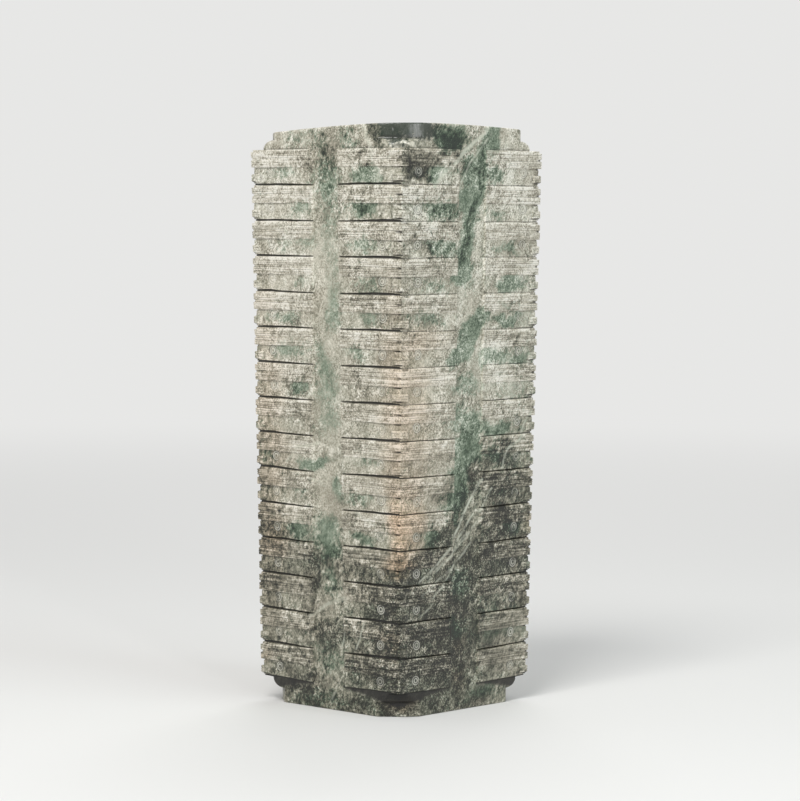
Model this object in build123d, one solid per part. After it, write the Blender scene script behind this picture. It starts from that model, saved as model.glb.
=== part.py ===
from build123d import *
import math
import os

# A jade cong: a square tube of nephrite, carved in tiers round its four corners.
# Lengths are millimetres. +Z is up, and the origin is the middle of the foot.

# Whole tube
tier_count = 15
tier_pitch = 20.76
foot_collar_height = 14.0
head_collar_height = 14.6
foot_width = 112.6
head_width = 122.2
corner_wear = 0.7

# Plain band up the middle of each face
band_width = 23.0
band_depth = 1.1

# Collars, turned at their corners and flush with the bands on their flats
foot_collar_radius = 66.5
head_collar_radius = 73.0
collar_swell = 5.6
head_crown = 2.6

# Bore, drilled from both ends
bore_mouth_radius = 31.0
bore_waist_radius = 27.0
bore_meeting_offset = 0.8

# Relief of one tier
groove_depth = 1.7
corner_notch_depth = 1.1
bar_gap_depth = 0.45
field_depth = 0.7
nose_reach = 7.2

# Where each cut begins and ends, as shares of the pitch below the tier's top
bar_gap_shares = (0.25, 0.30)
field_shares = (0.49, 0.955)
nose_shares = (0.69, 0.90)
groove_shares = (0.955, 1.0)
corner_notch_share = 0.055

# How far a cut runs out past the stone
overrun = 5.0

quarter_turn = 90
eighth_turn = 45
from_corner = (Align.MIN, Align.MIN, Align.MIN)

tier_zone = tier_count * tier_pitch
head_shoulder = foot_collar_height + tier_zone
height = head_shoulder + head_collar_height
flare = (head_width - foot_width) / 2 / tier_zone
lean = math.atan(flare)


def half_width(z):
    """Half the width across the bars at a height."""
    return foot_width / 2 + (z - foot_collar_height) * flare


def tapered_block(low, high, sunk):
    """A square block between two heights, with faces sunk below the bars."""
    low_half = half_width(low) - sunk
    high_half = half_width(high) - sunk
    outline = Polyline(
        (-low_half, low),
        (low_half, low),
        (high_half, high),
        (-high_half, high),
        close=True,
    )
    slab = extrude(Plane.XZ * make_face(outline), amount=head_width, both=True)
    return slab & Rot(Z=quarter_turn) * slab


def collar_lathe():
    """The turned outline of both collars, left wide between them to clear the tiers."""
    clear_radius = head_width
    foot_centre = (foot_collar_radius, foot_collar_height)
    head_centre = (head_collar_radius, head_shoulder)
    foot_swell = CenterArc(foot_centre, collar_swell, -quarter_turn, quarter_turn)
    head_swell = CenterArc(head_centre, collar_swell, 0, quarter_turn)
    foot_side = Polyline((0, 0), (foot_collar_radius, 0), foot_swell @ 0)
    middle = Polyline(
        foot_swell @ 1,
        (clear_radius, foot_collar_height),
        (clear_radius, head_shoulder),
        head_swell @ 0,
    )
    head_side = Polyline(head_swell @ 1, (head_collar_radius, height), (0, height), (0, 0))
    outline = make_face(Curve() + [foot_side, foot_swell, middle, head_swell, head_side])
    return revolve(Plane.XZ * outline, Axis.Z)


def crown():
    """What the bowed saw cut of the head leaves: a drum lying along one diagonal."""
    crown_radius = head_collar_radius**2 / (2 * head_crown)
    drum = Rot(X=quarter_turn) * Cylinder(crown_radius, 2 * head_width)
    return Rot(Z=eighth_turn) * Pos(Z=height - crown_radius) * drum


def bore():
    """Two tapered drillings that meet a little out of line at half height."""
    middle = height / 2
    upright = (Align.CENTER, Align.CENTER, Align.MIN)
    drilling = Cone(bore_waist_radius, bore_mouth_radius, middle, align=upright)
    upper = Rot(Z=eighth_turn) * Pos(X=bore_meeting_offset, Z=middle) * drilling
    lower = Pos(Z=middle) * Rot(X=2 * quarter_turn) * drilling
    return upper + lower


def sunk_box(start, end, low, high, depth):
    """A cut into a face, between two places across it and two heights up it."""
    box = Box(end - start, high - low, depth + overrun, align=from_corner)
    return Pos(start, low, -depth) * box


def tier_cuts(tier):
    """What is cut from one half of a face to leave one tier's relief."""
    rise = tier_pitch / math.cos(lean)

    def down(share):
        return (tier + 1 - share) * rise

    edge = band_width / 2
    corner = half_width(foot_collar_height + (tier + 1) * tier_pitch)
    past = corner + overrun
    nose = corner - nose_reach
    gap_top, gap_foot = bar_gap_shares
    field_top, field_foot = field_shares
    nose_top, nose_foot = nose_shares
    groove_top, groove_foot = groove_shares
    return [
        sunk_box(edge, past, down(gap_foot), down(gap_top), bar_gap_depth),
        sunk_box(edge, past, down(nose_top), down(field_top), field_depth),
        sunk_box(edge, nose, down(nose_foot), down(nose_top), field_depth),
        sunk_box(edge, past, down(field_foot), down(nose_foot), field_depth),
        sunk_box(edge, past, down(groove_foot), down(groove_top), groove_depth),
        sunk_box(nose, past, down(corner_notch_share), down(0), corner_notch_depth),
    ]


def corner_cuts():
    """Every tier's cuts round the one corner between +X and +Y."""
    face = Plane(
        origin=(half_width(foot_collar_height), 0, foot_collar_height),
        x_dir=(0, 1, 0),
        z_dir=(math.cos(lean), 0, -math.sin(lean)),
    )
    one_side = [face * cut for tier in range(tier_count) for cut in tier_cuts(tier)]
    diagonal = Plane(origin=(0, 0, 0), x_dir=(1, 1, 0), z_dir=(1, -1, 0))
    other_side = [mirror(cut, about=diagonal) for cut in one_side]
    return one_side + other_side


def corner_quarter():
    """The stone round one corner, carved."""
    barred = tapered_block(foot_collar_height, head_shoulder, 0)
    upright_edges = barred.edges().group_by(Axis.Z)[1]
    barred = chamfer(upright_edges, corner_wear)
    band = Box(2 * head_width, band_width, 2 * height)
    barred = barred - band - Rot(Z=quarter_turn) * band
    plain = tapered_block(0, height, band_depth) & collar_lathe()
    quadrant = Box(head_width, head_width, height, align=from_corner)
    return ((plain + barred) & quadrant) - corner_cuts()


def cong_tube():
    """The four carved corners joined, sawn across the head and drilled."""
    quarter = corner_quarter()
    others = [Rot(Z=quarter_turn * turn) * quarter for turn in (1, 2, 3)]
    block = quarter.fuse(*others).clean()
    return (block & crown()) - bore()


os.makedirs("parts", exist_ok=True)
tube = cong_tube()
export_step(tube, "parts/cong_tube.step")
print("cong_tube", round(tube.volume), len(tube.solids()), len(tube.faces()))
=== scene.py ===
import math

import bpy
import numpy as np
from mathutils import Matrix


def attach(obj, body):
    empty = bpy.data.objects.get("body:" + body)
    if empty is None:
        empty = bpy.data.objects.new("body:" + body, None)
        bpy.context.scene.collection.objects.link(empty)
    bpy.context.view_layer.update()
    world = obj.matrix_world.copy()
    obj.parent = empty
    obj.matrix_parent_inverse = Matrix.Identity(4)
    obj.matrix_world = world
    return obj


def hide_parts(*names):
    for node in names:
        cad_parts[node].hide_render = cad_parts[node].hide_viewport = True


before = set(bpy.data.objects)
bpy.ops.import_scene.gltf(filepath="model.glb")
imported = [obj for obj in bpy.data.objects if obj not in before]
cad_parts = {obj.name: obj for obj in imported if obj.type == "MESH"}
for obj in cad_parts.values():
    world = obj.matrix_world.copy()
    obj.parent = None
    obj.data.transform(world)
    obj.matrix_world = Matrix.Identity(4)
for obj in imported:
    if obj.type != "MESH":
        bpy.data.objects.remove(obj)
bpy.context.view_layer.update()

# A jade cong: one stone, so every piece below is a patch of the same carved skin.
# Lengths are millimetres until the meshes are made, and heights are above the foot.

MM = 0.001

# Whole tube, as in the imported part
TIERS = 15
PITCH = 20.76
FOOT_TOP = 14.0
HEAD_SHOULDER = FOOT_TOP + TIERS * PITCH
HEIGHT = 340.0
FOOT_HALF = 56.3
HEAD_HALF = 61.1
FLARE = (HEAD_HALF - FOOT_HALF) / (HEAD_SHOULDER - FOOT_TOP)

# Bands and collars
BAND_DEPTH = 1.1
BAND_STEP = 0.3
FOOT_RADIUS = 66.5
HEAD_RADIUS = 73.0
SWELL = 5.6
SWELL_SEAT = 0.25
RIM_ROUND = 1.0
FOOT_ROUND = 0.8

# The head's saw cut: how far it bows and how far it rolls, over this reach from the middle
CROWN = 3.0
ROLL = 1.2
CROWN_REACH = 72.0

# Bore
MOUTH_RADIUS = 31.0
WAIST_RADIUS = 27.0
WAIST_HALF = 0.4
BORE_OFFSET = 0.8
MOUTH_ROUND = 1.0

# Relief of one tier, in millimetres below the tier's top edge
LIP_FOOT = 0.62
NOTCH = (1.08, 1.34)
GAP = (4.7, 6.1)
FIELD = (10.2, 19.8)
NOSE = (14.25, 18.7)
STRIP_TOP = 18.9
EDGE = 0.26
GROOVE = (FIELD[1] - EDGE / 2, FIELD[1] + 0.12)

# Incised lines: their height below the tier's top, and their strength
BAR_LINES = ((2.35, 0.6), (3.6, 0.65), (4.6, 0.6), (6.1, 0.9), (7.35, 0.7), (8.6, 0.7), (9.6, 0.5))
NOSE_LINES = ((15.7, 0.6), (17.2, 0.6))
LINE_HALF = 0.28

# Where the nose and the notch end, and where the rest fades, by reach from the corner
NOSE_REACH = (6.9, 7.5)
NOTCH_REACH = (6.7, 7.3)
FADE = (8, 44)

# Short dark nicks at the corners: their height below the tier's top, and their reach
NICKS = ((5.4, 5.5), (10.7, 7.5), (18.6, 10.5))
NICK_FLAT = 0.26
NICK_HALF = 0.52
NICK_DEPTH = 0.5
NICK_OTHER_SIDE = 0.4

# Eyes: their height below the tier's top, the radius and half width of each ring, and the ticks
EYE_DROP = 13.3
EYE_CUTS = ((0.0, 0.62), (1.95, 0.34), (3.05, 0.34))
EYE_RIMS = ((1.25, 0.5), (2.5, 0.42))
EYE_TICK = (2.9, 4.1)

# Depths at the corner
GROOVE_DEPTH = 1.7
NOTCH_DEPTH = 1.0
GAP_DEPTH = 0.4
LINE_DEPTH = 0.26
EYE_DEPTH = 0.26

# Where the rows lie close for the eyes, with their spacing, and the least gap between rows
EYE_ROWS = (10.6, 16.8, 0.31)
CLOSEST_ROWS = 0.11

# The corner zone, where the columns bend round the edge of the stone
CORNER_ZONE = 3.0

# Stations along a face: as far as the first they are millimetres from the corner, and the
# others are the edge of the band and the middle of the face
FIXED_REACH = 21.4
EDGE_STATION = 47.2
MIDDLE_STATION = 58.7

# How the columns are spaced from a corner to the middle of a face: end, and steps to it
COLUMN_RUNS = (
    (CORNER_ZONE, 6), (NOSE_REACH[0], 6), (NOSE_REACH[1], 2), (12.4, 5), (FIXED_REACH, 30),
    (46.6, 34), (47.8, 4), (MIDDLE_STATION, 20),
)

TIERS_PER_PATCH = 5
BORE_PATCHES = 3
UV_MARGIN = 0.004
FACES = 4
HALF_COLUMNS = sum(steps for end, steps in COLUMN_RUNS)
FACE_COLUMNS = 2 * HALF_COLUMNS
COLUMNS = FACES * FACE_COLUMNS

# Each face's direction of travel and its outward direction, starting at the -Y face
ALONG = np.array([(1, 0), (0, 1), (-1, 0), (0, -1)], float)
OUTWARD = np.array([(0, -1), (1, 0), (0, 1), (-1, 0)], float)

# For each face: band half width at the foot and head, and how far the eyes stand from the
# corner
BAND_FOOT = np.array([13.2, 11.6, 12.4, 11.8])
BAND_HEAD = np.array([9.8, 11.4, 11.0, 11.6])
EYE_REACH = np.array([15.6, 15.4, 15.8, 15.2])

# Groove widths at the corner, a little way in and at the band, for each face's two halves
GROOVES = np.array([
    [(1.3, 1.35, 0.6), (1.25, 1.6, 0.75)],
    [(0.6, 0.5, 0.4), (1.2, 0.6, 0.45)],
    [(1.1, 1.0, 0.5), (0.8, 1.1, 0.6)],
    [(0.8, 1.0, 0.5), (1.2, 1.1, 0.5)],
])
GROOVE_TURN = 9.0
# The +X face's grooves are nearly worn away in the upper tiers, and wider low at the front
WORN_FACE = 1
WORN_TIERS = 8
WIDE_TIERS = 9
WIDENING = 1.8

# Painted shadow under the lowest tier: how far it spreads from the corner and how far down there
RECESS_REACH = 46.0
RECESS_DROP = 8.5


def ramp(value, start, end):
    """0 before start, 1 after end, and straight between."""
    return np.clip((value - start) / (end - start), 0.0, 1.0)


def smooth(value, start, end):
    """0 before start, 1 after end, and eased between."""
    share = ramp(value, start, end)
    return share * share * (3 - 2 * share)


def mix(first, second, share):
    """Between two values, by share."""
    return first + (second - first) * share


def lattice(x, y, z, seed):
    """A repeatable number from -1 to 1 for each place on a whole-number lattice."""
    mask = 0xFFFFFFFF
    code = (x * 374761393 + y * 668265263 + z * 1440662683 + seed * 1013904223) & mask
    code = ((code ^ (code >> 13)) * 1274126177) & mask
    code = code ^ (code >> 16)
    return code / (mask / 2) - 1


def noise(x, y, z, size, seed):
    """Smooth noise from -1 to 1, with features of about the given size."""
    places = [np.asarray(axis) / size for axis in (x, y, z)]
    wholes = [np.floor(place).astype(np.int64) for place in places]
    shares = [place - whole for place, whole in zip(places, wholes)]
    shares = [share * share * (3 - 2 * share) for share in shares]
    total = 0
    for corner in range(8):
        steps = [(corner >> axis) & 1 for axis in range(3)]
        weight = 1
        for share, step in zip(shares, steps):
            weight = weight * (share if step else 1 - share)
        cell = [whole + step for whole, step in zip(wholes, steps)]
        total = total + weight * lattice(*cell, seed)
    return total


def half_width(z):
    """Half the width across the bars at a height."""
    return FOOT_HALF + (z - FOOT_TOP) * FLARE


def column_stations():
    """Distances from the corner to the middle of a face, in one list."""
    stations = [0.0]
    for end, steps in COLUMN_RUNS:
        start = stations[-1]
        stations += [start + (end - start) * (step + 1) / steps for step in range(steps)]
    return np.array(stations)


def row_drops():
    """Heights of a tier's rows below its top edge, close together where it is carved."""
    drops = {0.0, 0.3, LIP_FOOT, *NOTCH}
    for line, strength in BAR_LINES + NOSE_LINES:
        drops |= {line - LINE_HALF, line, line + LINE_HALF}
    for edge in (*GAP, *NOSE, FIELD[0]):
        drops |= {edge - EDGE / 2, edge + EDGE / 2}
    for nick, nick_reach in NICKS:
        drops |= {nick - NICK_HALF, nick - NICK_FLAT, nick + NICK_FLAT, nick + NICK_HALF}
    drops |= set(np.arange(*EYE_ROWS))
    drops |= {FIELD[1] - 0.5, *GROOVE, PITCH - 0.3}
    kept = []
    for drop in sorted(drops):
        if not kept or drop - kept[-1] > CLOSEST_ROWS:
            kept.append(drop)
    return np.array(kept)


stations = column_stations()
half_face = np.concatenate([stations, stations[-2:0:-1]])
column_station = np.tile(half_face, FACES)
column_face = np.repeat(np.arange(FACES), FACE_COLUMNS)
column_side = np.tile(np.where(np.arange(FACE_COLUMNS) < HALF_COLUMNS, -1.0, 1.0), FACES)
column_other = (column_face + column_side.astype(int)) % FACES
column_corner = (column_face + (column_side > 0)) % FACES
column_reach = column_station / MIDDLE_STATION / 2
column_share = np.where(column_side < 0, column_reach, 1 - column_reach)
on_band = ramp(column_station, EDGE_STATION - BAND_STEP, EDGE_STATION + BAND_STEP)
off_band = 1 - on_band


def face_value(table, reach=9.0):
    """A face's own value in every column, shared with the next face at the corner."""
    table = np.asarray(table, float)
    own = table[column_face]
    shared = (own + table[column_other]) / 2
    return mix(shared, own, smooth(column_station, 0, reach))


def corner_distance(z):
    """How far each column stands from its corner at a height."""
    half = half_width(z)
    band_edge = half - mix(face_value(BAND_FOOT), face_value(BAND_HEAD), z / HEIGHT)
    station = column_station
    block = mix(FIXED_REACH, band_edge, ramp(station, FIXED_REACH, EDGE_STATION))
    middle = mix(band_edge, half, ramp(station, EDGE_STATION, MIDDLE_STATION))
    return np.where(station < FIXED_REACH, station, np.where(station < EDGE_STATION, block, middle))


def to_plan(across, out):
    """Places in plan from places across each column's face and out from the axis."""
    directions = zip(ALONG[column_face].T, OUTWARD[column_face].T)
    return [across * column_side * along + out * outward for along, outward in directions]


# Where the tier lines run: they drop a little towards the front and right corners
CORNER_DROP = np.array([-0.5, -0.9, -0.8, -0.5])
perimeter = np.arange(COLUMNS) / FACE_COLUMNS
corner_angle = perimeter * math.pi / 2


def line_height(line):
    """The height of the line above a tier, in every column; line 0 is the head shoulder."""
    nominal = HEAD_SHOULDER - line * PITCH
    if line in (0, TIERS):
        return nominal
    start = CORNER_DROP[column_face]
    end = CORNER_DROP[(column_face + 1) % FACES]
    drift = mix(start, end, column_share) * line / TIERS
    circle = 40.0
    x = circle * np.cos(corner_angle)
    y = circle * np.sin(corner_angle)
    sway = noise(x, y, line * 37.0, 26.0, 11) * 0.45 + noise(x, y, line * 37.0, 9.0, 12) * 0.16
    return nominal + drift + sway


def corner_rounding(z):
    """The radius worn on the corner at a height, in every column."""
    return 0.75 + 0.35 * noise(column_corner * 50.0, z, 0.0, 5.0, 21)


def groove_width(tier):
    """How wide the groove beneath a tier is in every column."""
    at_corner, turned, at_band = GROOVES[column_face, (column_side > 0).astype(int)].T
    near = mix(at_corner, turned, smooth(column_station, 2, GROOVE_TURN))
    width = mix(near, at_band, smooth(column_station, GROOVE_TURN, EDGE_STATION) ** 1.3)
    wide = (column_face == WORN_FACE) & (column_side < 0) & (tier > WIDE_TIERS)
    width = np.where(wide, width * mix(1, WIDENING, 1 - ramp(column_station, 8, 40)), width)
    return np.clip(width * (1 + 0.25 * noise(perimeter * 9.0, tier * 3.3, 0.0, 1.0, 22)), 0.3, 1.8)


def bump_between(value, low, high, edge):
    """1 between two places and 0 outside them, with straight edges of a given width."""
    rise = ramp(value, low - edge / 2, low + edge / 2)
    return rise * (1 - ramp(value, high - edge / 2, high + edge / 2))


def fine_lines(tier, drop, x, y, nose):
    """Lines incised on the bars and on the nose, worn away in places."""
    lines = 0 * x
    for number, (line, strength) in enumerate(BAR_LINES + NOSE_LINES):
        level = tier * 31.0 + number * 17.0
        kept = noise(x, y, level, 9.0, 41) + 0.75 + 0.5 * noise(x, y, level, 2.2, 42)
        row = strength * (1 - ramp(abs(drop - line), 0, LINE_HALF)) * np.clip(kept, 0.0, 1.0)
        lines = np.maximum(lines, row * nose if line > FIELD[0] else row)
    return lines


def eyes(tier, drop, x, y, z, reach):
    """How deeply a pupil, two rings and a tick each side are cut, and their pale rims."""
    spot = column_face * 9.0
    half_spot = spot + column_side * 0.4
    aside = reach - face_value(EYE_REACH, 0.1) - 0.6 * noise(spot, tier * 7.0, 0.5, 1.0, 43)
    up = drop - EYE_DROP - 0.7 * noise(half_spot, tier * 7.0, 3.0, 1.0, 46)
    away = np.hypot(aside, up)
    clear = np.clip(0.7 + 0.6 * noise(half_spot, tier * 7.0, 5.0, 1.0, 44), 0.15, 1)
    clear = clear * np.clip(0.85 + noise(x, y, z, 2.5, 45), 0, 1)
    tick = (abs(aside) > EYE_TICK[0]) * (abs(aside) < EYE_TICK[1])
    cuts = tick * (1 - ramp(abs(up), 0.1, 0.34))
    rims = 0 * cuts
    for radius, half in EYE_CUTS:
        cuts = np.maximum(cuts, 1 - ramp(abs(away - radius), half * 0.3, half))
    for radius, half in EYE_RIMS:
        rims = np.maximum(rims, clear * (1 - ramp(abs(away - radius), half * 0.4, half)))
    return cuts * clear, rims


def corner_nicks(tier, drop, reach):
    """Nicks cut in from the corners, longer on one side of each corner."""
    nicks = 0 * reach
    for nick, nick_reach in NICKS:
        row = 1 - ramp(abs(drop - nick), NICK_FLAT, NICK_HALF)
        spread = nick_reach * np.where(column_side > 0, 1, NICK_OTHER_SIDE)
        spread = spread * (0.85 + 0.4 * noise(column_corner * 9.0, tier * 7.0, nick, 1.0, 36))
        strength = np.clip(1.0 + 0.7 * noise(column_face * 9.0, tier * 5.0, nick, 1.0, 37), 0, 1)
        nicks = np.maximum(nicks, row * strength * (1 - ramp(reach, 0.4 * spread, spread)))
    return nicks


def carve(tier, drop, z):
    """Depth of a tier's carving, a row for each drop, and what its material needs to know."""
    x, y = bar_plan(z)
    reach = corner_distance(z)
    far = smooth(reach, *FADE)

    # Bars: a worn top edge, the corner's notch and the gap between them
    lip = (1 - ramp(drop, 0, LIP_FOOT)) ** 2
    lip_wear = 0.45 + 0.3 * noise(x, y, z, 7.0, 31) + 0.3 * noise(x, y, z, 2.3, 32)
    notch = (1 - ramp(drop, *NOTCH)) * (1 - ramp(reach, *NOTCH_REACH))
    depth = np.maximum(lip * np.clip(lip_wear, 0.12, 1.2), notch * NOTCH_DEPTH)
    gap_depth = mix(GAP_DEPTH, 0.12, far) * (1 + 0.4 * noise(x, y, tier * 30.0, 14, 33))
    depth = depth + bump_between(drop, *GAP, EDGE) * gap_depth

    # Field and nose bar, with the lines and eyes cut on them
    field = ramp(drop, FIELD[0] - EDGE / 2, FIELD[0] + EDGE / 2)
    nose = bump_between(drop, *NOSE, EDGE) * (1 - ramp(reach, *NOSE_REACH))
    field_depth = mix(1.0, 0.28, far) * (1 + 0.25 * noise(x, y, z, 12, 34))
    depth = mix(depth, field_depth * (1 - nose), field)
    lines = fine_lines(tier, drop, x, y, nose)
    cuts, rims = eyes(tier, drop, x, y, z, reach)
    depth = depth + LINE_DEPTH * lines * mix(1.9, 1.0, smooth(reach, 3, 16)) + EYE_DEPTH * cuts

    # Groove beneath the tier, and nicks, both painted dark: dirt and painted shade
    groove = ramp(drop, *GROOVE)
    groove_depth = mix(GROOVE_DEPTH, 1.35, far) * mix(1, 0.86, ramp(drop, 20.2, PITCH))
    worn = (column_face == WORN_FACE) * ramp(WORN_TIERS - tier, 0, 3) * smooth(reach, 0.5, 4)
    worn = worn * np.clip(0.75 + 0.5 * noise(x, y, tier * 30.0, 11, 35), 0, 1)
    depth = mix(depth, groove_depth * (1 - 0.7 * worn), groove)
    nicks = corner_nicks(tier, drop, reach)
    depth = depth + NICK_DEPTH * nicks
    dirt_and_shade = np.maximum(groove * mix(1.0, 0.92, far) * (1 - 0.55 * worn), 0.95 * nicks)

    # Chips out of the tier's edges, deepest at its lip and its foot
    near_lip = np.clip(1 - drop / 2.2, 0, 1)
    near_foot = np.clip(1 - abs(drop - FIELD[1]) / 1.6, 0, 1) * 0.7
    rough = noise(x, y, z * 1.5, 3.4, 51) + 0.5 * noise(x, y, z, 1.3, 52)
    depth = depth + smooth(rough, 0.52, 1.1) * (near_lip + near_foot) * 0.75

    # The plain band
    depth = mix(depth, BAND_DEPTH + 0.12 * noise(x, y, z, 30, 53), on_band)
    marks = np.maximum(lines, cuts) * off_band
    dirt_and_shade = dirt_and_shade * (1 - ramp(column_station, EDGE_STATION - 0.6, EDGE_STATION + 0.9))
    return depth, marks, dirt_and_shade, (1 - field) * off_band, rims * off_band


def wear(x, y, z):
    """The uneven surface that long handling and burial leave, never proud of the stone."""
    low = noise(x, y, z, 34.0, 61) * 0.14
    middle = noise(x, y, z, 9.0, 62) * 0.06
    fine = noise(x, y, z, 2.2, 63) * 0.04
    pits = smooth(noise(x, y, z, 1.7, 64) + 0.4 * noise(x, y, z, 5.5, 65), 0.62, 1.05) * 0.22
    return np.maximum(0.14 + low + middle + fine, 0) + pits


def tier_plan(z, depth):
    """A tier's rows in plan: flat faces, bent round the worn corner."""
    half = half_width(z)
    depth = depth + wear(*bar_plan(z), z)
    out = half - depth
    reach = corner_distance(z)
    radius = np.clip(corner_rounding(z), 0.3, CORNER_ZONE - depth - 0.15)
    share = reach / CORNER_ZONE
    angle = math.pi / 4 * (1 - np.clip(share / 0.5, 0, 1))
    arc_across = out - radius + radius * np.sin(angle)
    arc_out = out - radius + radius * np.cos(angle)
    run = mix(out - radius, half - CORNER_ZONE, np.clip(share / 0.5 - 1, 0, 1))
    across = np.where(share < 0.5, arc_across, np.where(share < 1, run, half - reach))
    out = np.where(share < 0.5, arc_out, out)
    return to_plan(across, out)


def bar_plan(z):
    """Plain places on the bars' plane, for reading noise."""
    half = half_width(z)
    return to_plan(half - corner_distance(z), half)


def collar_row(z, radius, inset):
    """One row of a collar in plan: flats in line with the bands, turned at the corners."""
    half = half_width(z)
    flat = half - BAND_DEPTH - inset
    radius = radius - inset
    share = 1 - corner_distance(z) / half
    across = share * flat
    cut = np.minimum(np.sqrt(np.maximum(radius**2 - flat**2, 0)), flat)
    start = np.arctan2(cut, flat)
    beyond = (across - cut) / np.maximum(flat - cut, 1e-6)
    angle = mix(start, math.pi / 4, np.clip(beyond, 0, 1))
    turned = (across > cut) & (cut < flat - 1e-6)
    x, y = to_plan(np.where(turned, radius * np.sin(angle), across),
                   np.where(turned, radius * np.cos(angle), flat))
    worn = wear(x, y, z)
    length = np.hypot(x, y)
    return x * (1 - worn / length), y * (1 - worn / length)


def crowned(x, y):
    """How much the head's saw cut falls below its top at a place in plan."""
    aside = (x + y) / math.sqrt(2) / CROWN_REACH
    return CROWN * aside**2 - ROLL * aside + ROLL**2 / CROWN / 4


def painted_recess_shadow(z):
    """Painted shadow under the overhang of the lowest tier, deepest at the corners."""
    near = 1 - ramp(corner_distance(z), 0, RECESS_REACH)
    lowest = FOOT_TOP - 0.6 - RECESS_DROP * near**1.6
    return smooth(z, lowest - 1.2, lowest + 1.2) * off_band


# Rows, from the bore's foot up the outside, over the head and down the bore
blocks = []
row_parts = []


def add_rows(part, x, y, z, marks=0.0, dirt_and_shade=0.0, bar=0.0, rims=0.0):
    """Keep rows of the skin, one or many, with what their material needs to know."""
    values = [np.atleast_2d(value) for value in (x, y, z, marks, dirt_and_shade, bar, rims)]
    layers = np.broadcast_arrays(*values)
    blocks.append(np.stack(layers, axis=-1))
    row_parts.extend([part] * len(layers[0]))


def mouth_plan(radius, centre):
    """Places on a circle of the bore, one on each column's spoke."""
    return centre + spoke_x * radius, centre + spoke_y * radius


def add_face_rows(part, first, last, height_of, steps):
    """Rows of a flat end, between its rim and the mouth of the bore."""
    for step in range(steps + 1):
        x, y = (mix(start, end, step / steps) for start, end in zip(first, last))
        add_rows(part, x, y, height_of(x, y))


def quarter_arc(steps):
    """The sine and cosine at each step round a quarter turn."""
    angles = [math.pi / 2 * step / steps for step in range(steps + 1)]
    return [(math.sin(angle), math.cos(angle)) for angle in angles]


upper_centre = BORE_OFFSET / math.sqrt(2)
head_rim = collar_row(HEIGHT, HEAD_RADIUS, RIM_ROUND + 1.2)
spoke_x = head_rim[0] / np.hypot(*head_rim)
spoke_y = head_rim[1] / np.hypot(*head_rim)

# Foot face, from the bore's mouth out to the rim
foot_rim = collar_row(0.0, FOOT_RADIUS, FOOT_ROUND)
foot_mouth = mouth_plan(MOUTH_RADIUS + MOUTH_ROUND, 0.0)
add_face_rows("foot", foot_mouth, foot_rim, lambda x, y: 0.0, 12)

# Foot collar
for z in (0.12, 0.4, FOOT_ROUND):
    inset = FOOT_ROUND - math.sqrt(FOOT_ROUND**2 - (FOOT_ROUND - z) ** 2)
    add_rows("foot", *collar_row(z, FOOT_RADIUS, inset), z)
# The collar's rows under the lowest tier's overhang carry its painted shadow
for z in np.linspace(FOOT_ROUND, FOOT_TOP - SWELL, 9)[1:]:
    add_rows("foot", *collar_row(z, FOOT_RADIUS, 0.0), z, dirt_and_shade=painted_recess_shadow(z))
for sine, cosine in quarter_arc(10)[1:]:
    z = FOOT_TOP - SWELL * cosine
    inset = off_band * SWELL_SEAT * (sine == 1)
    add_rows("foot", *collar_row(z, FOOT_RADIUS + SWELL * sine, inset), z, dirt_and_shade=painted_recess_shadow(z))

# Tiers, from the lowest up
drops = row_drops()
for tier in range(TIERS - 1, -1, -1):
    top = line_height(tier)
    bottom = line_height(tier + 1)
    groove = groove_width(tier)
    drop = drops[::-1, None]
    strip = (PITCH - groove - STRIP_TOP) * ramp(drop, STRIP_TOP, FIELD[1])
    below = np.minimum(drop, STRIP_TOP) + strip + groove * ramp(drop, FIELD[1], PITCH)
    z = mix(top, bottom, below / PITCH)
    depth, *known = carve(tier, drop, z)
    part = "tiers_%d" % (TIERS // TIERS_PER_PATCH - 1 - tier // TIERS_PER_PATCH)
    add_rows(part, *tier_plan(z, depth), z, *known)

# Head collar
for sine, cosine in quarter_arc(10):
    z = HEAD_SHOULDER + SWELL * sine
    inset = off_band * SWELL_SEAT * (sine == 0)
    add_rows("head", *collar_row(z, HEAD_RADIUS + SWELL * cosine, inset), z)
rim_height = HEIGHT - crowned(*collar_row(HEIGHT, HEAD_RADIUS, 0.0))
for share in np.linspace(0, 1, 9)[1:]:
    z = mix(HEAD_SHOULDER + SWELL, rim_height - RIM_ROUND, share)
    add_rows("head", *collar_row(z, HEAD_RADIUS, 0.0), z)
for sine, cosine in quarter_arc(5)[1:]:
    z = rim_height - RIM_ROUND * (1 - sine)
    add_rows("head", *collar_row(z, HEAD_RADIUS, RIM_ROUND * (1 - cosine)), z)


def head_height(x, y):
    """Height of the head's face at a place in plan."""
    return HEIGHT - crowned(x, y) - 0.1 - 0.08 * noise(x, y, 0, 11.0, 71)


head_mouth = mouth_plan(MOUTH_RADIUS + MOUTH_ROUND, upper_centre)
add_face_rows("head", head_rim, head_mouth, head_height, 14)

# Bore, from the head down
mouth_height = head_height(*head_mouth)


def bore_row(z, radius, centre):
    """One row of the bore, with the faint rings that drilling left."""
    rings = 0.07 * noise(0, 0, z, 1.6, 81) + 0.1 * noise(0, 0, z, 7.0, 82)
    x, y = mouth_plan(radius - rings, centre)
    add_rows("bore", x, y, z)


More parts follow.
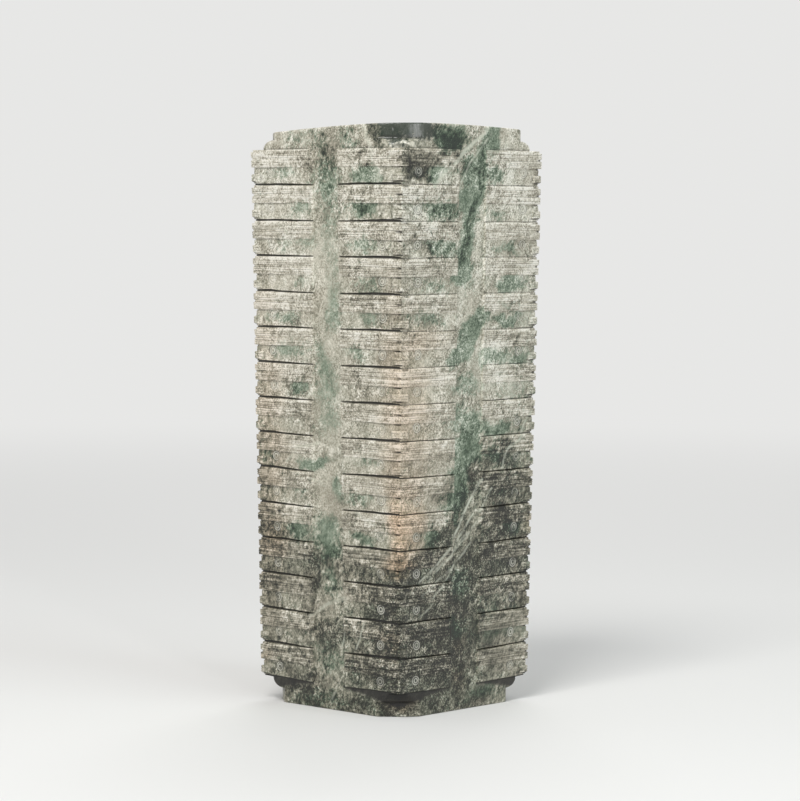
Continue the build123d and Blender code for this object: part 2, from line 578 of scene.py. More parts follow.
for sine, cosine in quarter_arc(5)[1:]:
    z = mouth_height - MOUTH_ROUND * (1 - cosine)
    bore_row(z, MOUTH_RADIUS + MOUTH_ROUND * (1 - sine), upper_centre)
middle = HEIGHT / 2
for share in np.linspace(0, 1, 56)[1:]:
    z = mix(mouth_height - MOUTH_ROUND, middle + WAIST_HALF, share)
    bore_row(z, mix(MOUTH_RADIUS, WAIST_RADIUS, share), upper_centre)
for share in np.linspace(0, 1, 56):
    z = mix(middle - WAIST_HALF, MOUTH_ROUND, share)
    bore_row(z, mix(WAIST_RADIUS, MOUTH_RADIUS, share), 0.0)
for sine, cosine in quarter_arc(5)[1:-1]:
    bore_row(MOUTH_ROUND * (1 - sine), MOUTH_RADIUS + MOUTH_ROUND * (1 - cosine), 0.0)

skin = np.concatenate(blocks)
places = skin[:, :, :3]

# The stone's colour, listed patch by patch. For each face and kind, every patch has its middle
# across the face and above the foot, its half sizes, its strength and, last, any turn in degrees.
SPOTS = {
    (0, "clear"): ((56, 336, 16, 10.5, 1.0),),
    (0, "pale"): (
        (-44, 265, 34, 90, 0.7), (-50, 315, 12, 10, 0.5), (-32, 292, 6, 8, 0.6),
        (-32, 334, 24, 9, 0.5), (-35, 252, 14, 8, 0.5), (16, 283, 5, 14, 0.4), (50, 300, 8, 20, 0.3),
        (-8, 255, 12, 20, 0.5), (6, 215, 7, 5, 0.5), (-8, 133, 5, 6, 0.4), (-32, 115, 14, 3, 0.5),
        (30, 90, 28, 8, 0.3), (-42, 90, 18, 10, 0.3),
    ),
    (0, "green"): (
        (-35, 311, 9, 5, 0.5), (0, 308, 15, 16, 0.4), (32, 310, 14, 6, 0.7), (18, 331, 10, 9, 0.35),
        (-20, 331, 22, 8, 0.25), (-18, 293, 11, 8, 0.4), (4, 288, 9, 16, 0.28),
        (30, 291, 15, 7, 0.65), (-32, 270, 10, 5, 0.3), (-14, 272, 9, 8, 0.35),
        (4, 268, 9, 18, 0.22), (31, 270, 13, 6, 0.5), (-20, 250, 6, 5, 0.3), (5, 245, 9, 16, 0.24),
        (36, 247, 14, 6, 0.4), (-35, 229, 16, 6, 0.45), (6, 230, 10, 13, 0.4),
        (34, 227, 13, 5, 0.45), (-30, 210, 16, 7, 0.5), (-4, 205, 9, 12, 0.45),
        (23, 208, 10, 5, 0.5), (-22, 188, 9, 6, 0.65), (0, 188, 12, 14, 0.4), (0, 168, 13, 10, 0.35),
        (-50, 150, 8, 8, 0.3), (-14, 144, 17, 4.5, 0.75), (34, 146, 12, 5, 0.35),
        (-22, 129, 10, 6, 0.3), (8, 128, 6, 8, 0.5), (24, 125, 13, 7, 0.4), (-25, 103, 14, 6, 0.6),
        (0, 104, 13, 12, 0.5), (28, 103, 14, 5, 0.5), (4, 90, 10, 8, 0.6), (-2, 78, 9, 6, 0.3),
        (5, 72, 10, 8, 0.35), (0, 30, 12, 12, 0.35), (20, 28, 12, 6, 0.3), (-5, 6, 26, 6, 0.35),
    ),
    # The broadest dark patches darken the face's lower part and its foot: partly the stone's own
    # darker foot, partly painted shade
    (0, "dark"): (
        (3, 322, 6, 16, 0.4), (34, 290, 12, 7, 0.3), (-26, 88, 40, 24, 0.3), (38, 84, 28, 30, 0.32),
        (0, 150, 60, 30, 0.08), (-12, 88, 9, 7, 0.5), (-12, 72, 4.5, 9, 0.6), (40, 60, 18, 5, 0.4),
        (4, 43, 13, 9, 0.5), (10, 45, 6, 5, 0.4), (20, 27, 10, 7, 0.55), (-20, 18, 10, 4, 0.5),
        (46, 25, 14, 9, 0.35), (-25, 11, 14, 4, 0.7), (25, 8, 7, 4, 0.5), (45, 45, 14, 8, 0.3),
        (-5, 15, 95, 92, 0.4), (10, 90, 40, 22, 0.2), (50, 30, 32, 62, 0.5), (42, 334, 9, 9, 0.7),
        (0, 4, 60, 9, 0.3), (-50, 70, 14, 8, 0.3),
    ),
    (0, "calm"): (
        (0, 170, 12, 190, 0.65), (-20, 103, 14, 6, 0.5), (28, 103, 14, 5, 0.5),
        (-35, 68, 20, 9, 0.4), (35, 150, 30, 50, 0.3),
    ),
    (0, "warm"): (
        (54, 170, 14, 80, 0.3), (58, 108, 10, 26, 0.6), (-50, 150, 18, 110, 0.3),
        (52, 88, 14, 8, 0.6), (50, 45, 12, 10, 0.3), (52, 7, 14, 7, 0.4), (-50, 28, 6, 4, 0.3),
        (-46, 96, 14, 12, 0.3),
    ),
    (0, "speck"): (
        (0, 315, 60, 25, 0.5), (30, 290, 30, 14, 0.6), (40, 40, 30, 30, 0.4), (10, 45, 14, 12, 0.7),
    ),
    (1, "clear"): ((-46, 336, 24, 10.5, 1.0), (-48, 311, 10, 6, 0.5), (-14, 336, 14, 8, 0.5)),
    (1, "pale"): (
        (40, 300, 22, 22, 0.7), (45, 315, 16, 8, 0.7), (34, 297, 12, 8, 0.4), (34, 332, 8, 9, 0.6),
        (30, 256, 30, 8, 0.6), (20, 238, 14, 6, 0.5), (-50, 300, 8, 6, 0.6),
        (-35, 281, 14, 5, 0.6, 30), (-32, 215, 20, 6, 0.3), (-12, 232, 30, 7, 0.7),
        (36, 274, 22, 9, 0.5), (0, 40, 9, 7, 0.3), (-34, 195, 26, 8, 0.35), (26, 192, 30, 7, 0.5),
        (38, 174, 20, 8, 0.5), (18, 170, 12, 5, 0.5, 10), (-6, 154, 4, 3, 0.9),
        (-36, 175, 22, 10, 0.2), (50, 78, 12, 8, 0.4), (48, 64, 12, 5, 0.4),
    ),
    (1, "green"): (
        (-20, 332, 16, 10, 0.9), (18, 331, 7, 12, 0.9), (-30, 312, 12, 7, 0.8, 20),
        (-3, 314, 10, 11, 0.9), (18, 312, 8, 6, 0.7), (-28, 291, 17, 7, 0.75), (-4, 297, 9, 10, 0.8),
        (20, 288, 10, 4, 0.4), (-25, 270, 13, 7, 0.7), (30, 268, 14, 4, 0.45),
        (-30, 248, 20, 6, 0.35), (-6, 252, 9, 10, 0.5), (34, 248, 14, 5, 0.9),
        (-38, 229, 24, 7, 0.4), (32, 227, 14, 4, 0.95), (34, 236, 14, 2.5, 0.6),
        (2, 220, 13, 9, 0.75, 30), (-8, 208, 13, 6, 0.6, 20), (20, 205, 12, 5, 0.6),
        (42, 204, 10, 4, 0.65), (-2, 190, 17, 8, 0.5), (-4, 170, 18, 10, 0.55),
        (24, 163, 16, 5, 0.9, 5), (0, 150, 14, 11, 0.75, 20), (20, 152, 12, 6, 0.7),
        (-8, 132, 10, 12, 0.8, 30), (-14, 118, 10, 10, 0.5, 40), (40, 104, 12, 5, 0.5),
        (-30, 104, 9, 8, 0.6), (44, 190, 26, 80, 0.22), (-6, 75, 12, 10, 0.6, 30),
        (-10, 50, 10, 5, 0.5), (30, 47, 34, 12, 0.35), (16, 7, 16, 6, 0.4),
    ),
    # The broadest dark patches darken the face's lower part and its foot: partly the stone's own
    # darker foot, partly painted shade
    (1, "dark"): (
        (-45, 311, 9, 6, 0.8), (-48, 322, 12, 3, 0.4), (-30, 290, 14, 5, 0.35),
        (-40, 269, 7, 6, 0.4), (-48, 272, 8, 8, 0.3), (37, 214, 3, 2, 0.9), (34, 216, 14, 1.5, 0.4),
        (28, 150, 18, 7, 0.7, 5), (36, 142, 9, 5, 0.9), (12, 146, 8, 8, 0.3), (-22, 128, 9, 9, 0.45),
        (-2, 122, 4, 4, 0.6), (26, 125, 15, 5, 0.85, 10), (30, 102, 16, 5, 0.75),
        (30, 134, 30, 4, 0.5), (32, 113, 30, 4, 0.35), (-24, 102, 9, 8, 0.5), (-44, 85, 8, 6, 0.7),
        (6, 88, 12, 6, 0.5, 30), (-6, 73, 11, 9, 1.0, 20), (-40, 70, 12, 6, 0.85, 10),
        (16, 64, 8, 4, 0.7, 30), (32, 68, 10, 4, 0.5), (-44, 50, 16, 9, 0.8),
        (-18, 51, 12, 4, 0.5, 20), (-8, 52, 7, 4, 0.8), (6, 50, 6, 2, 0.6, 20),
        (-40, 30, 20, 9, 0.7), (-25, 26, 8, 10, 0.5), (-8, 23, 5, 8, 0.7), (-30, 8, 10, 5, 0.5),
        (-22, 34, 54, 66, 0.7), (36, 112, 48, 64, 0.55), (0, 84, 62, 28, 0.52),
        (32, 30, 60, 50, 0.18), (-52, 320, 14, 14, 0.4), (-35, 318, 30, 8, 0.4),
        (-18, 48, 26, 26, 0.3), (0, 4, 60, 10, 0.2), (-18, 331, 16, 10, 0.7),
    ),
    (1, "calm"): (
        (-38, 150, 22, 60, 0.4), (28, 44, 34, 12, 0.75), (34, 26, 26, 10, 0.6), (16, 7, 16, 7, 0.9),
        (-50, 8, 12, 7, 0.8), (-4, 40, 8, 10, 0.4), (-45, 190, 20, 30, 0.4), (0, 240, 12, 20, 0.3),
    ),
    (1, "warm"): (
        (-50, 180, 14, 60, 0.3), (-50, 110, 15, 26, 0.7), (-54, 88, 11, 8, 0.7),
        (-50, 8, 12, 7, 0.45), (-6, 40, 9, 8, 0.3), (-4, 18, 9, 8, 0.3), (-40, 215, 20, 8, 0.2),
        (-42, 165, 24, 60, 0.15),
    ),
    (1, "speck"): (
        (-35, 280, 26, 26, 0.9), (25, 312, 30, 10, 0.5), (-5, 320, 14, 16, 0.6),
        (0, 90, 60, 40, 0.4), (-40, 40, 26, 30, 0.7),
    ),
}

# Long streaks and thin veins: half width, strength, and the places that each runs through
STREAKS = {
    (1, "green"): (
        (7.0, 0.7, ((20, 341), (8, 318), (4, 300), (-2, 285), (-8, 265), (-10, 252))),
        (6.0, 0.6, ((12, 230), (0, 214), (-16, 203))),
        (8.0, 0.75, ((3, 164), (-3, 144), (-10, 124))),
    ),
    (1, "dark"): (
        (3.0, 0.45, ((9, 322), (7, 303), (2, 291), (-5, 277), (-8, 262))),
        (8.0, 0.5, ((6, 134), (-2, 122), (-16, 104), (-40, 84), (-60, 74))),
        (7.0, 0.6, ((-14, 78), (-30, 70), (-62, 64))),
        (6.0, 0.2, ((2, 160), (-4, 140), (-10, 124))),
    ),
    (1, "pale"): (
        (3.4, 0.55, ((10, 112), (-12, 94), (-41, 75))), (2.4, 0.4, ((-2, 84), (-18, 68), (-34, 56))),
        (2.2, 0.4, ((14, 120), (0, 106), (-14, 92))),
    ),
    (1, "vein"): (
        (1.6, 0.9, ((16, 341), (8, 333), (-5, 326), (-15, 318), (-33, 304))),
        (0.8, 0.7, ((22, 341), (12, 330), (-2, 318), (-10, 306))),
        (0.9, 1.0, ((55, 172), (50, 165), (46, 157), (34, 150), (30, 140))),
        (1.0, 1.0, ((12, 134), (0, 119), (-10, 102))), (0.9, 0.9, ((21, 128), (11, 115))),
        (0.9, 0.7, ((6, 114), (-8, 100), (-30, 84), (-40, 78))),
        (0.8, 0.6, ((12, 112), (-2, 100), (-18, 88), (-36, 76))),
        (0.8, 0.5, ((0, 104), (-16, 90), (-34, 80))), (0.8, 0.5, ((4, 98), (-12, 84), (-38, 70))),
        (0.8, 0.6, ((-10, 86), (-20, 74), (-30, 66))), (0.8, 0.5, ((-28, 64), (-38, 58))),
    ),
    (0, "pale"): (
        (3.0, 0.6, ((-36, 141), (-24, 152), (-4, 155), (12, 151))),
        (3.4, 0.9, ((30, 342), (36, 325), (42, 304))),
    ),
    (0, "dark"): ((4.0, 0.15, ((-3, 342), (-1, 325), (2, 306))),),
    (0, "green"): ((6.0, 0.2, ((-5, 342), (-2, 325), (2, 302))),),
    (0, "vein"): (
        (1.6, 0.5, ((31, 341), (36, 325), (42, 304))), (1.2, 0.5, ((-34, 143), (-24, 152), (-6, 156))),
        (1.2, 0.5, ((-14, 134), (-2, 131))), (1.5, 0.5, ((-14, 54), (0, 62), (14, 66))),
        (0.7, 0.7, ((10, 38), (14, 47))), (0.6, 0.9, ((22, 38), (26, 46), (29, 54))),
        (0.8, 0.4, ((2, 6), (8, 16), (12, 22))), (1.0, 0.5, ((20, 118), (40, 110))),
    ),
}

# How far, in millimetres and degrees, the hidden faces' marks stray from those of the faces seen
HIDDEN_SHIFT = 12.0
HIDDEN_TURN = 15.0
HIDDEN_STRENGTH = (0.6, 0.95)
KINDS = ("green", "dark", "pale", "warm", "calm", "speck", "clear", "vein")


def add_hidden_marks():
    """Marks of the same make-up for the two faces that the photograph hides, moved about."""
    chance = np.random.default_rng(2026)
    for (face, kind), spots in tuple(SPOTS.items()):
        moved = []
        for across, up, wide, tall, strength, *turn in spots:
            aside, lift = chance.uniform(-HIDDEN_SHIFT, HIDDEN_SHIFT, 2)
            turned = sum(turn) + chance.uniform(-HIDDEN_TURN, HIDDEN_TURN)
            strength = strength * chance.uniform(*HIDDEN_STRENGTH)
            moved.append((across + aside, up + lift, wide, tall, strength, turned))
        SPOTS[face + 2, kind] = tuple(moved)
    for (face, kind), streaks in tuple(STREAKS.items()):
        moved = []
        for half, strength, path in streaks:
            aside, lift = chance.uniform(-HIDDEN_SHIFT, HIDDEN_SHIFT, 2)
            path = tuple((across + aside, up + lift) for across, up in path)
            moved.append((half, strength, path))
        STREAKS[face + 2, kind] = tuple(moved)


def laid_out():
    """How strongly each kind of patch and streak shows at every point of the skin."""
    x, y, z = np.moveaxis(places, -1, 0)
    sway_across = 5.0 * noise(x, y, z, 13.0, 91) + 2.4 * noise(x, y, z, 4.0, 92)
    sway_up = 4.0 * noise(x, y, z, 11.0, 93) + 2.0 * noise(x, y, z, 3.5, 94)
    across = column_side * (half_width(z) - corner_distance(z))
    stretch = 2 * half_width(z)
    layers = {kind: np.zeros(z.shape) for kind in KINDS}
    add_hidden_marks()

    def on_face(face):
        """Places across the whole skin as that face sees them, round its corners too."""
        step = (column_face - face + 1) % FACES - 1
        return np.where(step > 1, 1e3, across + step * stretch)

    def lay(kind, near, shape):
        """Add a mark to its layer, where it shows."""
        layers[kind][near] = 1 - (1 - layers[kind][near]) * (1 - shape)

    for (face, kind), spots in SPOTS.items():
        aside_all = on_face(face) + sway_across
        up_all = z + sway_up
        for middle_across, middle_up, wide, tall, strength, *turn in spots:
            reach = max(wide, tall) * 1.4
            near = (abs(up_all - middle_up) < reach) & (abs(aside_all - middle_across) < reach)
            angle = math.radians(sum(turn))
            aside = aside_all[near] - middle_across
            up = up_all[near] - middle_up
            along = (aside * math.cos(angle) + up * math.sin(angle)) / wide
            beside = (up * math.cos(angle) - aside * math.sin(angle)) / tall
            lay(kind, near, strength * (1 - smooth(np.hypot(along, beside), 0.15, 1.35)))
    for (face, kind), streaks in STREAKS.items():
        thin = 0.2 if kind == "vein" else 0.8
        aside_all = on_face(face) + thin * sway_across
        up_all = z + thin * sway_up
        for half, strength, path in streaks:
            low = min(up for side, up in path) - 3 * half
            high = max(up for side, up in path) + 3 * half
            near = (up_all > low) & (up_all < high) & (abs(aside_all) < 90)
            aside, up = aside_all[near], up_all[near]
            away = np.full(up.shape, 1e3)
            for (start_x, start_y), (end_x, end_y) in zip(path, path[1:]):
                run_x, run_y = end_x - start_x, end_y - start_y
                share = ((aside - start_x) * run_x + (up - start_y) * run_y) / (run_x**2 + run_y**2)
                share = np.clip(share, 0, 1)
                away = np.minimum(away, np.hypot(aside - start_x - share * run_x,
                                                 up - start_y - share * run_y))
            lay(kind, near, strength * (1 - smooth(away, half * 0.3, half * 1.3)))
    layers["vein"] *= np.clip(0.8 + 0.8 * noise(x, y, z, 3.0, 95), 0, 1)
    layers["green"] *= 1 - 0.5 * skin[:, :, 5]
    layers["clear"] *= smooth(np.hypot(x, y), 48, 70)
    return [layers[kind] for kind in KINDS]


def hollowness():
    """How far each point lies below the skin round it, in millimetres, or above it."""
    around = places
    for axis in (0, 1):
        shifted = [np.roll(around, step, axis) for step in range(-4, 5)]
        around = sum(shifted) / len(shifted)
    hollow = np.sum((around - places) * normals, axis=-1)
    return hollow * (1 - 0.85 * bump_between(column_station, 43, 51, 2))


def skin_normals():
    """Each point's outward direction, from the four quads round it on the closed skin."""
    right = np.roll(places, -1, axis=1)
    above = np.roll(places, -1, axis=0)
    above_right = np.roll(above, -1, axis=1)
    quads = np.cross(above_right - places, above - right)
    beside = quads + np.roll(quads, 1, axis=1)
    total = beside + np.roll(beside, 1, axis=0)
    return total / np.maximum(np.linalg.norm(total, axis=-1, keepdims=True), 1e-12)


LABELS = ("mark", "dirt_and_shade", "bar", "rim") + KINDS + ("hollow",)
normals = skin_normals()
skin = np.concatenate([skin, np.stack(laid_out() + [hollowness()], axis=-1)], axis=-1)
bore_start = row_parts.index("bore")
bore_rows = len(row_parts) - bore_start
for row in range(bore_rows):
    row_parts[bore_start + row] = "bore_%d" % (row * BORE_PATCHES // bore_rows)


def new_object(name, data):
    """An object in the scene for a mesh, a camera or a lamp."""
    made = bpy.data.objects.new(name, data)
    bpy.context.scene.collection.objects.link(made)
    return made


def paced(steps):
    """Places from 0 to 1 in step with the lengths between them."""
    total = np.concatenate([[0], np.cumsum(steps)])
    return total / total[-1]


def make_patch(name, start, end, first, last, material):
    """A mesh piece from a patch of the skin, with borders shared with its neighbours."""
    row_ids = np.arange(start, end + 1) % len(skin)
    column_ids = np.arange(first, last + 1) % COLUMNS
    patch = skin[np.ix_(row_ids, column_ids)]
    points = patch[:, :, :3] * MM
    ids = np.arange(len(row_ids) * len(column_ids)).reshape(len(row_ids), len(column_ids))
    quads = np.stack([ids[:-1, :-1], ids[:-1, 1:], ids[1:, 1:], ids[1:, :-1]], axis=-1)
    quads = quads.reshape(-1, 4)
    mesh = bpy.data.meshes.new(name)
    mesh.vertices.add(ids.size)
    mesh.vertices.foreach_set("co", points.reshape(-1))
    mesh.loops.add(quads.size)
    mesh.loops.foreach_set("vertex_index", quads.reshape(-1))
    mesh.polygons.add(len(quads))
    mesh.polygons.foreach_set("loop_start", np.arange(len(quads)) * 4)
    mesh.update(calc_edges=True)
    across = paced(np.linalg.norm(np.diff(points, axis=1), axis=-1).mean(axis=0))
    up = paced(np.linalg.norm(np.diff(points, axis=0), axis=-1).mean(axis=1))
    places_uv = np.stack(np.meshgrid(across, up), axis=-1).reshape(-1, 2)
    layer = mesh.uv_layers.new(name="OFBake")
    places_uv = UV_MARGIN + (1 - 2 * UV_MARGIN) * places_uv
    layer.uv.foreach_set("vector", places_uv[quads].reshape(-1))
    for index, label in enumerate(LABELS):
        attribute = mesh.attributes.new(label, "FLOAT", "POINT")
        attribute.data.foreach_set("value", patch[:, :, 3 + index].reshape(-1))
    mesh.polygons.foreach_set("use_smooth", np.ones(len(quads), bool))
    mesh.normals_split_custom_set_from_vertices(normals[np.ix_(row_ids, column_ids)].reshape(-1, 3))
    mesh.materials.append(material)
    piece = new_object(name, mesh)
    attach(piece, "root")
    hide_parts("cong_tube")


def linear(red, green, blue):
    """A colour written as it looks on a screen, from 0 to 255, for a shader."""
    values = [level / 255 for level in (red, green, blue)]
    values = [v / 12.92 if v <= 0.04045 else ((v + 0.055) / 1.055) ** 2.4 for v in values]
    return (*values, 1.0)


class Shader:
    """The node tree of a material or world, built a node at a time."""

    def __init__(self, owner):
        owner.use_nodes = True
        self.tree = owner.node_tree
        self.tree.nodes.clear()

    def node(self, kind, inputs=None, **settings):
        """Add a node, with its settings and its inputs given as values or sockets."""
        node = self.tree.nodes.new(kind)
        for key, value in settings.items():
            setattr(node, key, value)
        for key, value in (inputs or {}).items():
            socket = node.inputs[key]
            if isinstance(value, bpy.types.NodeSocket):
                self.tree.links.new(value, socket)
            else:
                socket.default_value = value
        return node

    def math(self, operation, first, second, clamp=False):
        """One step of arithmetic."""
        inputs = {0: first, 1: second}
        node = self.node("ShaderNodeMath", inputs, operation=operation, use_clamp=clamp)
        return node.outputs[0]

    def between(self, value, low, high, start=0.0, end=1.0):
        """A value eased from one range to another."""
        inputs = {"Value": value, "From Min": low, "From Max": high, "To Min": start, "To Max": end}
        node = self.node("ShaderNodeMapRange", inputs, interpolation_type="SMOOTHSTEP")
        return node.outputs[0]

    def noise(self, vector, scale, detail, roughness=0.5, distortion=0.0):
        """Noise from 0 to 1 at a place."""
        inputs = {
            "Vector": vector, "Scale": scale, "Detail": detail, "Roughness": roughness,
            "Distortion": distortion,
        }
        return self.node("ShaderNodeTexNoise", inputs).outputs["Fac"]

    def blend(self, share, first, second, kind="MIX"):
        """Two colours mixed by a share."""
        inputs = {0: share, 6: first, 7: second}
        return self.node("ShaderNodeMix", inputs, data_type="RGBA", blend_type=kind).outputs[2]

    def ramp(self, value, colours):
        """A colour read off an evenly spaced row of colours."""
        node = self.node("ShaderNodeValToRGB", {"Fac": value})
        elements = node.color_ramp.elements
        while len(elements) < len(colours):
            elements.new(0.5)
        for index, colour in enumerate(colours):
            elements[index].position = index / (len(colours) - 1)
            elements[index].color = linear(*colour)
        return node.outputs["Color"]

    def attribute(self, name):
        """A number kept with the mesh."""
        return self.node("ShaderNodeAttribute", attribute_name=name).outputs["Fac"]


# The stone's colours, from its darkest to its palest
GREEN_STONE = (
    (28, 40, 30), (60, 76, 58), (100, 115, 96), (142, 153, 135), (190, 196, 181), (230, 230, 220),
)
GREY_STONE = (
    (28, 28, 21), (72, 71, 59), (119, 116, 101), (160, 155, 139), (202, 197, 182), (232, 229, 219),
)
# Near black for dirt and painted shade in the grooves, nicks and hollows, for the painted shadow under
# the lowest tier, and for the cut lines
DIRT_AND_SHADE = linear(15, 13, 9)
WARM = linear(255, 227, 206)
WHITE = linear(255, 255, 255)
RIM = linear(218, 217, 205)
VEIN = linear(205, 208, 192)
CLEAR = linear(20, 38, 28)
CLEAR_ROUGHNESS = 0.2

# The stone's fabric runs on a slant, this way round, and stretches its flecks along itself
FABRIC_TURN = (0.0, math.radians(42), math.radians(63))
FABRIC_STRETCH = (1.0, 1.0, 1.7)
BRUSHED_STRETCH = (0.05, 0.05, 1.0)
TONE = 0.665


def jade_material():
    """Nephrite gone pale and chalky in specks and clouds, green where it is still clear."""
    material = bpy.data.materials.new("jade")
    shader = Shader(material)
    place = shader.node("ShaderNodeTexCoord").outputs["Object"]
    fabric = shader.node("ShaderNodeMapping", {
        "Vector": place, "Rotation": FABRIC_TURN, "Scale": FABRIC_STRETCH,
    }, vector_type="TEXTURE").outputs[0]
    brushed = shader.node("ShaderNodeMapping", {"Vector": place, "Scale": BRUSHED_STRETCH})
    cloud = shader.noise(place, 42.0, 3.0, 0.5, 0.5)
    mottle = shader.noise(fabric, 210.0, 3.0, 0.6, 0.4)
    fleck = shader.noise(fabric, 520.0, 2.0, 0.7, 0.3)
    grain = shader.noise(place, 900.0, 2.0, 0.8)
    streak = shader.noise(brushed.outputs[0], 900.0, 2.0, 0.7)
    known = {label: shader.attribute(label) for label in LABELS}

    def part_of(value, amount):
        """How far a noise is from its middle, times an amount."""
        return shader.math("MULTIPLY", shader.math("SUBTRACT", value, 0.5), amount)

    def scaled(first, second):
        """Two values multiplied."""
        return shader.math("MULTIPLY", first, second)

    def added(first, second, clamp=False):
        """Two values added."""
        return shader.math("ADD", first, second, clamp)

    # How lively the speckle is from place to place
    lively = shader.between(shader.noise(place, 75.0, 2.0), 0.35, 0.65, 0.7, 1.3)
    lively = scaled(lively, shader.between(known["calm"], 0.0, 1.0, 1.0, 0.4))
    lively = added(lively, scaled(known["speck"], 0.5))
    scatter = scaled(added(part_of(fleck, 1.3), part_of(grain, 1.3)), lively)

    def flecked(label, low, high):
        """A patch of the stone, broken into flecks where it is weak."""
        return shader.between(added(known[label], scatter), low, high)

    green = flecked("green", 0.06, 0.62)
    dark = flecked("dark", 0.1, 0.74)
    clear = flecked("clear", 0.35, 0.8)

    tone = added(part_of(cloud, 0.5), TONE)
    brush = scaled(known["bar"], shader.between(dark, 0.0, 1.0, 0.9, 1.5))
    for layer, amount in (
        (part_of(mottle, 0.9), added(lively, scaled(dark, 0.6))),
        (part_of(grain, 1.85), added(lively, scaled(dark, 0.5))),
        (part_of(streak, 1.0), brush),
        (known["pale"], 0.14), (known["bar"], 0.03), (green, -0.19), (dark, -0.52),
    ):
        tone = added(tone, scaled(layer, amount))
    # Points standing proud of the skin round them are a little paler
    raised = shader.between(known["hollow"], 0.0, -0.16)
    tone = added(tone, scaled(raised, 0.08), clamp=True)

    greenness = added(scaled(green, 1.05), part_of(cloud, 0.9))
    greenness = added(greenness, part_of(known["bar"], -0.24), clamp=True)
    colour = shader.blend(greenness, shader.ramp(tone, GREY_STONE), shader.ramp(tone, GREEN_STONE))
    colour = shader.blend(scaled(clear, 0.92), colour, CLEAR)
    tint = shader.blend(known["warm"], WHITE, WARM)
    colour = shader.blend(1.0, colour, tint, "MULTIPLY")
    colour = shader.blend(scaled(known["vein"], 0.75), colour, VEIN)
    # Hollows are painted darker: painted shade. Cut lines and eyes darken too, partly their own dark
    # colour and partly painted shade
    painted_hollow_shade = shader.between(known["hollow"], 0.08, 0.5)
    shade = shader.math("MAXIMUM", scaled(known["mark"], 0.62), scaled(painted_hollow_shade, 0.4))
    colour = shader.blend(shade, colour, DIRT_AND_SHADE)
    colour = shader.blend(scaled(known["rim"], 0.75), colour, RIM)
    # Dirt and painted shade in the grooves and nicks, and painted shadow under the lowest tier
    colour = shader.blend(scaled(known["dirt_and_shade"], 0.93), colour, DIRT_AND_SHADE)

    rough = shader.between(tone, 0.2, 0.8, 0.36, 0.58)
    gloss = scaled(clear, shader.math("SUBTRACT", rough, CLEAR_ROUGHNESS))
    rough = shader.math("SUBTRACT", rough, gloss)
    height = added(part_of(grain, 1.0), scaled(part_of(streak, 0.6), known["bar"]))
    height = scaled(height, shader.math("SUBTRACT", 1.0, scaled(clear, 0.9)))
    bump = shader.node("ShaderNodeBump", {"Height": height, "Strength": 0.4, "Distance": 0.0002})
    skin_shader = shader.node("ShaderNodeBsdfPrincipled", {
        "Base Color": colour, "Roughness": rough, "Normal": bump.outputs[0], "IOR": 1.52,
    })
    shader.node("ShaderNodeOutputMaterial", {"Surface": skin_shader.outputs[0]})
    return material


jade = jade_material()
for part in dict.fromkeys(row_parts):
    start = row_parts.index(part)
    end = start + row_parts.count(part)
    if part.startswith("bore"):
        make_patch("jade_" + part, start, end, 0, COLUMNS, jade)
        continue
    for corner in range(FACES):
        name = "jade_%s_corner_%d" % (part, corner)
        edge = corner * FACE_COLUMNS
        make_patch(name, start, end, edge - HALF_COLUMNS, edge + HALF_COLUMNS, jade)

# Camera: a long lens a little above the middle, on the corner between the -Y and +X faces
IMAGE_SIZE = (800, 801)
FOCAL_PIXELS = 3050
SENSOR = 36.0
CAMERA_REACH = 1.803
CAMERA_AZIMUTH = math.radians(43.15)
CAMERA_HEIGHT = 0.2864
CAMERA_PITCH = math.radians(3.44)
CAMERA_YAW = math.atan(4.5 / FOCAL_PIXELS)
CAMERA_ROLL = math.radians(0.25)

camera_data = bpy.data.cameras.new("camera")
camera_data.sensor_fit = "HORIZONTAL"
camera_data.sensor_width = SENSOR
camera_data.lens = FOCAL_PIXELS / IMAGE_SIZE[0] * SENSOR
camera = new_object("camera", camera_data)
camera.location = (
    CAMERA_REACH * math.sin(CAMERA_AZIMUTH), -CAMERA_REACH * math.cos(CAMERA_AZIMUTH), CAMERA_HEIGHT,
)
turn = Matrix.Rotation(CAMERA_AZIMUTH - CAMERA_YAW, 3, "Z")
tip = Matrix.Rotation(math.pi / 2 - CAMERA_PITCH, 3, "X")
camera.rotation_euler = (turn @ tip @ Matrix.Rotation(CAMERA_ROLL, 3, "Z")).to_euler()
bpy.context.scene.camera = camera

# Pale floor and world: the floor glows plainly further off than this, in metres
PALE_STUDIO = (0.80, 0.80, 0.79, 1.0)
FLOOR_REACH = 12.0
FLOOR_FADE = (0.5, 2.5)
WORLD_STRENGTH = 0.38

# Lamps: azimuth, elevation, distance, width, height, power and colour
LAMPS = {
    "key": (20, 50, 2.2, 0.9, 0.9, 30.0, (1.0, 0.985, 0.96)),
    "fill": (95, 35, 2.4, 1.2, 1.2, 10.7, (0.85, 0.97, 1.0)),
    "strip": (61, 12, 2.2, 0.14, 1.3, 7.0, (1.0, 1.0, 1.0)),
    "back": (215, 45, 2.4, 1.2, 1.2, 14.0, (1.0, 1.0, 1.0)),
}


def plainly_seen(shader):
    """1 for the rays that meet the pale background: seen, mirrored or through something."""
    path = shader.node("ShaderNodeLightPath").outputs
    seen = path["Is Camera Ray"]
    for kind in ("Is Glossy Ray", "Is Transmission Ray"):
        seen = shader.math("MAXIMUM", seen, path[kind])
    return seen


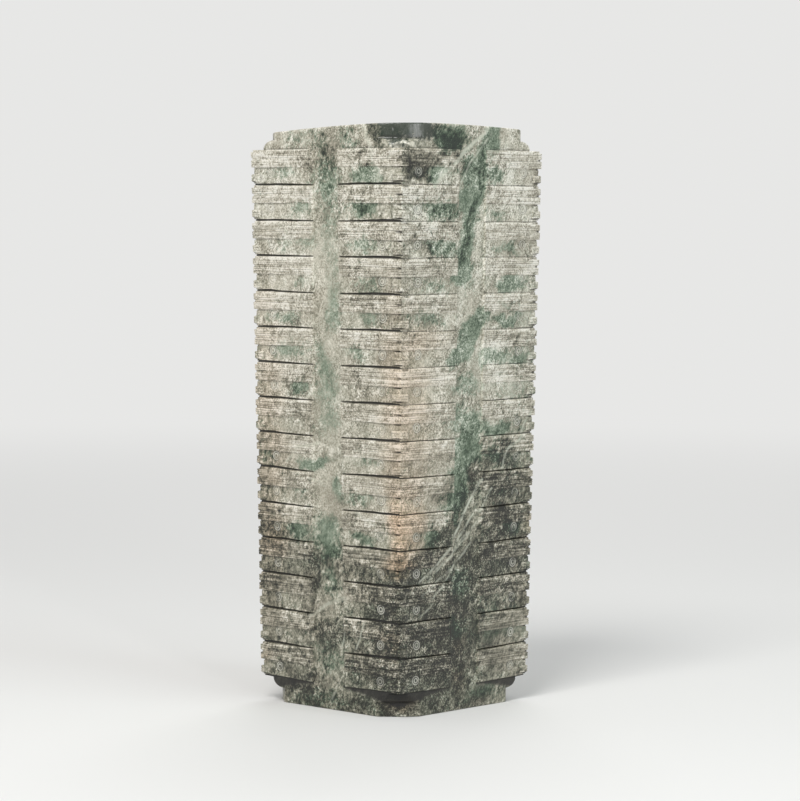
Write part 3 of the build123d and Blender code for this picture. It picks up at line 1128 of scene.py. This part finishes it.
def mixed(shader, share, first, second):
    """Two surfaces or backgrounds mixed by a share."""
    inputs = {0: share, 1: first.outputs[0], 2: second.outputs[0]}
    return shader.node("ShaderNodeMixShader", inputs).outputs[0]


floor_mesh = bpy.data.meshes.new("floor")
floor_corners = [
    (x * FLOOR_REACH, y * FLOOR_REACH, 0) for x, y in ((-1, -1), (1, -1), (1, 1), (-1, 1))
]
floor_mesh.from_pydata(floor_corners, [], [(0, 1, 2, 3)])
floor = new_object("floor", floor_mesh)
floor_material = bpy.data.materials.new("floor")
floor_mesh.materials.append(floor_material)
shader = Shader(floor_material)
place = shader.node("ShaderNodeTexCoord").outputs["Object"]
away = shader.node("ShaderNodeVectorMath", {0: place}, operation="LENGTH").outputs["Value"]
plain = shader.node("ShaderNodeBsdfDiffuse", {"Color": PALE_STUDIO})
glow = shader.node("ShaderNodeEmission", {"Color": PALE_STUDIO, "Strength": 1.0})
fade = shader.math("MULTIPLY", shader.between(away, *FLOOR_FADE), plainly_seen(shader))
shader.node("ShaderNodeOutputMaterial", {"Surface": mixed(shader, fade, plain, glow)})

world = bpy.data.worlds.new("studio")
bpy.context.scene.world = world
shader = Shader(world)
light = shader.node("ShaderNodeBackground", {"Color": WHITE, "Strength": WORLD_STRENGTH})
seen = shader.node("ShaderNodeBackground", {"Color": PALE_STUDIO})
world_surface = mixed(shader, plainly_seen(shader), light, seen)
shader.node("ShaderNodeOutputWorld", {"Surface": world_surface})


def add_lamp(name, azimuth, elevation, reach, width, tall, power, colour):
    """A soft lamp that faces the middle of the tube."""
    data = bpy.data.lights.new(name, "AREA")
    data.shape = "RECTANGLE"
    data.size = width
    data.size_y = tall
    data.energy = power
    data.color = colour
    turn = math.radians(azimuth)
    rise = math.radians(elevation)
    level = reach * math.cos(rise)
    lamp = new_object(name, data)
    lamp.location = (
        level * math.sin(turn), -level * math.cos(turn), HEIGHT / 2 * MM + reach * math.sin(rise),
    )
    lamp.rotation_euler = (math.pi / 2 - rise, 0, turn)


for name, settings in LAMPS.items():
    add_lamp(name, *settings)

bpy.context.scene.view_settings.view_transform = "Standard"
